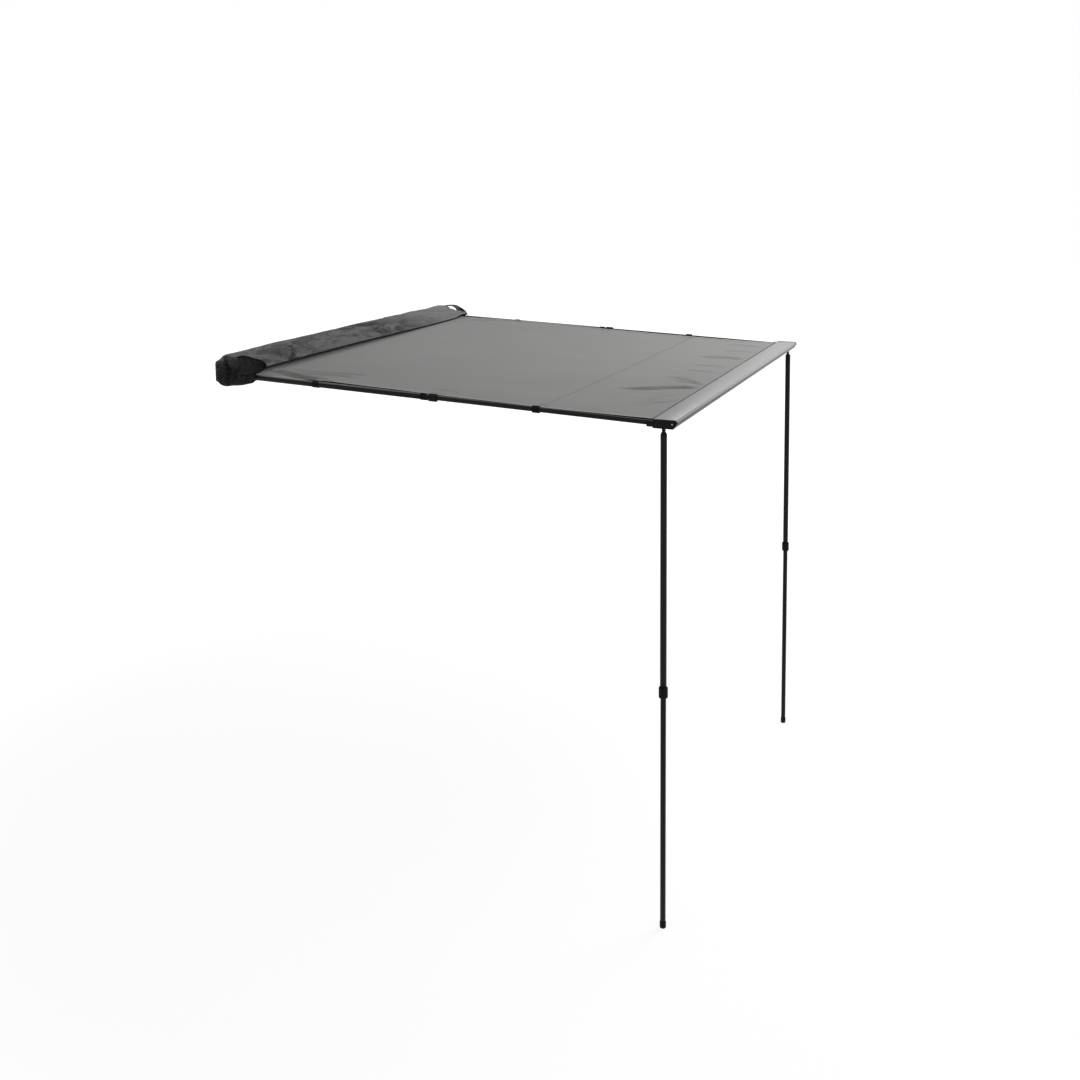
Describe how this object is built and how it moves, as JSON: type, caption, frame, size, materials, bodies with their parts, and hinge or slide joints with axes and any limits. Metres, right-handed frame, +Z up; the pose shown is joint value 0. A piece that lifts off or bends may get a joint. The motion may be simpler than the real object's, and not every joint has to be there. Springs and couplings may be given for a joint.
{
  "type": "vehicle side awning",
  "caption": "Pull-out vehicle side awning: cloth canopy between a bagged back channel and a lead bar, with telescopic rafters and fold-up telescopic legs.",
  "frame": {"origin": "middle of the back channel's rear face, which lies against the rack brackets, 2.175 m above the ground", "axes": "+X out from the vehicle towards the lead bar, +Y along the vehicle towards the far rafter, +Z up"},
  "size_m": [2.154, 2.2, 2.2667],
  "materials": {
    "anodised": "fine brushed silver anodising",
    "black_metal": "satin black powder coat",
    "black_plastic": "fine grained moulded nylon",
    "steel": "zinc plated",
    "canopy_cloth": "coated grey canvas",
    "bag_cloth": "heavy coated dark grey cloth, mottled",
    "webbing": "woven black tape"
  },
  "bodies": {
    "back": {"back_channel": "anodised", "end_casting_near": "black_metal", "end_casting_far": "black_metal", "swing_pin_near": "steel", "swing_pin_far": "steel", "canopy_bead_back": "webbing", "bag": "bag_cloth", "bag_piping": "webbing"},
    "canopy": {"canopy": "canopy_cloth", "strap_near_1": "webbing", "strap_near_2": "webbing", "strap_near_3": "webbing", "strap_far_1": "webbing", "strap_far_2": "webbing", "strap_far_3": "webbing"},
    "bar": {"lead_bar": "anodised", "bar_cap_near": "black_plastic", "bar_cap_far": "black_plastic", "canopy_bead_front": "webbing", "leg_bracket_near": "black_metal", "leg_bracket_far": "black_metal", "leg_pin_near": "steel", "leg_pin_far": "steel"},
    "knuckle_near": {"knuckle_near": "black_metal", "tilt_pin_near": "steel"},
    "rafter_near": {"rafter_fork_near": "black_plastic", "rafter_outer_near": "black_metal", "rafter_collet_near": "black_plastic"},
    "rafter_lock_near": {"rafter_collar_near": "black_plastic"},
    "rafter_arm_near": {"rafter_bush_near": "black_plastic", "rafter_inner_near": "black_metal", "rafter_tip_near": "black_plastic"},
    "leg_near": {"leg_head_near": "black_plastic", "leg_upper_near": "black_metal", "leg_collet_near": "black_plastic"},
    "leg_lock_near": {"leg_collar_near": "black_plastic"},
    "leg_foot_near": {"leg_bush_near": "black_plastic", "leg_lower_near": "black_metal", "leg_foot_near": "black_plastic"},
    "knuckle_far": {"knuckle_far": "black_metal", "tilt_pin_far": "steel"},
    "rafter_far": {"rafter_fork_far": "black_plastic", "rafter_outer_far": "black_metal", "rafter_collet_far": "black_plastic"},
    "rafter_lock_far": {"rafter_collar_far": "black_plastic"},
    "rafter_arm_far": {"rafter_bush_far": "black_plastic", "rafter_inner_far": "black_metal", "rafter_tip_far": "black_plastic"},
    "leg_far": {"leg_head_far": "black_plastic", "leg_upper_far": "black_metal", "leg_collet_far": "black_plastic"},
    "leg_lock_far": {"leg_collar_far": "black_plastic"},
    "leg_foot_far": {"leg_bush_far": "black_plastic", "leg_lower_far": "black_metal", "leg_foot_far": "black_plastic"}
  },
  "joints": [
    {"name": "canopy_pitch", "type": "hinge", "parent": "back", "child": "canopy", "pos_m": [0.085, 0, -0.009], "axis": [0, 1, 0], "range_deg": [-5, 0]},
    {"name": "bar_slide", "type": "slide", "parent": "canopy", "child": "bar", "axis": [-0.9994, 0, 0.0354], "range_m": [0, 0.85], "deforming": ["canopy", "strap_near_1", "strap_near_2", "strap_near_3", "strap_far_1", "strap_far_2", "strap_far_3"]},
    {"name": "rafter_swing_near", "type": "hinge", "parent": "back", "child": "knuckle_near", "pos_m": [0.06002, -1.068, -0.00811], "axis": [0.0354, 0, 0.9994], "range_deg": [0, 90]},
    {"name": "rafter_tilt_near", "type": "hinge", "parent": "knuckle_near", "child": "rafter_near", "pos_m": [0.085, -1.068, -0.009], "axis": [0, 1, 0], "range_deg": [-5, 0]},
    {"name": "rafter_twist_near", "type": "hinge", "parent": "rafter_near", "child": "rafter_lock_near", "pos_m": [0.085, -1.068, -0.009], "axis": [0.9994, 0, -0.0354], "range_deg": [0, 90]},
    {"name": "rafter_slide_near", "type": "slide", "parent": "rafter_near", "child": "rafter_arm_near", "axis": [-0.9994, 0, 0.0354], "range_m": [0, 0.85]},
    {"name": "leg_fold_near", "type": "hinge", "parent": "bar", "child": "leg_near", "pos_m": [2.085, -1.0305, -0.0865], "axis": [1, 0, 0], "range_deg": [0, 90]},
    {"name": "leg_twist_near", "type": "hinge", "parent": "leg_near", "child": "leg_lock_near", "pos_m": [2.085, -1.0305, -0.0865], "axis": [0, 0, 1], "range_deg": [0, 90]},
    {"name": "leg_slide_near", "type": "slide", "parent": "leg_near", "child": "leg_foot_near", "axis": [0, 0, 1], "range_m": [0, 0.85]},
    {"name": "rafter_swing_far", "type": "hinge", "parent": "back", "child": "knuckle_far", "pos_m": [0.06002, 1.068, -0.00811], "axis": [-0.0354, 0, -0.9994], "range_deg": [0, 88]},
    {"name": "rafter_tilt_far", "type": "hinge", "parent": "knuckle_far", "child": "rafter_far", "pos_m": [0.085, 1.068, -0.009], "axis": [0, 1, 0], "range_deg": [-5, 0]},
    {"name": "rafter_twist_far", "type": "hinge", "parent": "rafter_far", "child": "rafter_lock_far", "pos_m": [0.085, 1.068, -0.009], "axis": [0.9994, 0, -0.0354], "range_deg": [0, 90]},
    {"name": "rafter_slide_far", "type": "slide", "parent": "rafter_far", "child": "rafter_arm_far", "axis": [-0.9994, 0, 0.0354], "range_m": [0, 0.85]},
    {"name": "leg_fold_far", "type": "hinge", "parent": "bar", "child": "leg_far", "pos_m": [2.119, 1.0305, -0.0865], "axis": [-1, 0, 0], "range_deg": [0, 90]},
    {"name": "leg_twist_far", "type": "hinge", "parent": "leg_far", "child": "leg_lock_far", "pos_m": [2.119, 1.0305, -0.0865], "axis": [0, 0, 1], "range_deg": [0, 90]},
    {"name": "leg_slide_far", "type": "slide", "parent": "leg_far", "child": "leg_foot_far", "axis": [0, 0, 1], "range_m": [0, 0.85]}
  ],
  "couplings": [
    {"joint": "rafter_tilt_near", "follows": "canopy_pitch", "ratio": 1},
    {"joint": "rafter_slide_near", "follows": "bar_slide", "ratio": 1},
    {"joint": "rafter_tilt_far", "follows": "canopy_pitch", "ratio": 1},
    {"joint": "rafter_slide_far", "follows": "bar_slide", "ratio": 1}
  ]
}
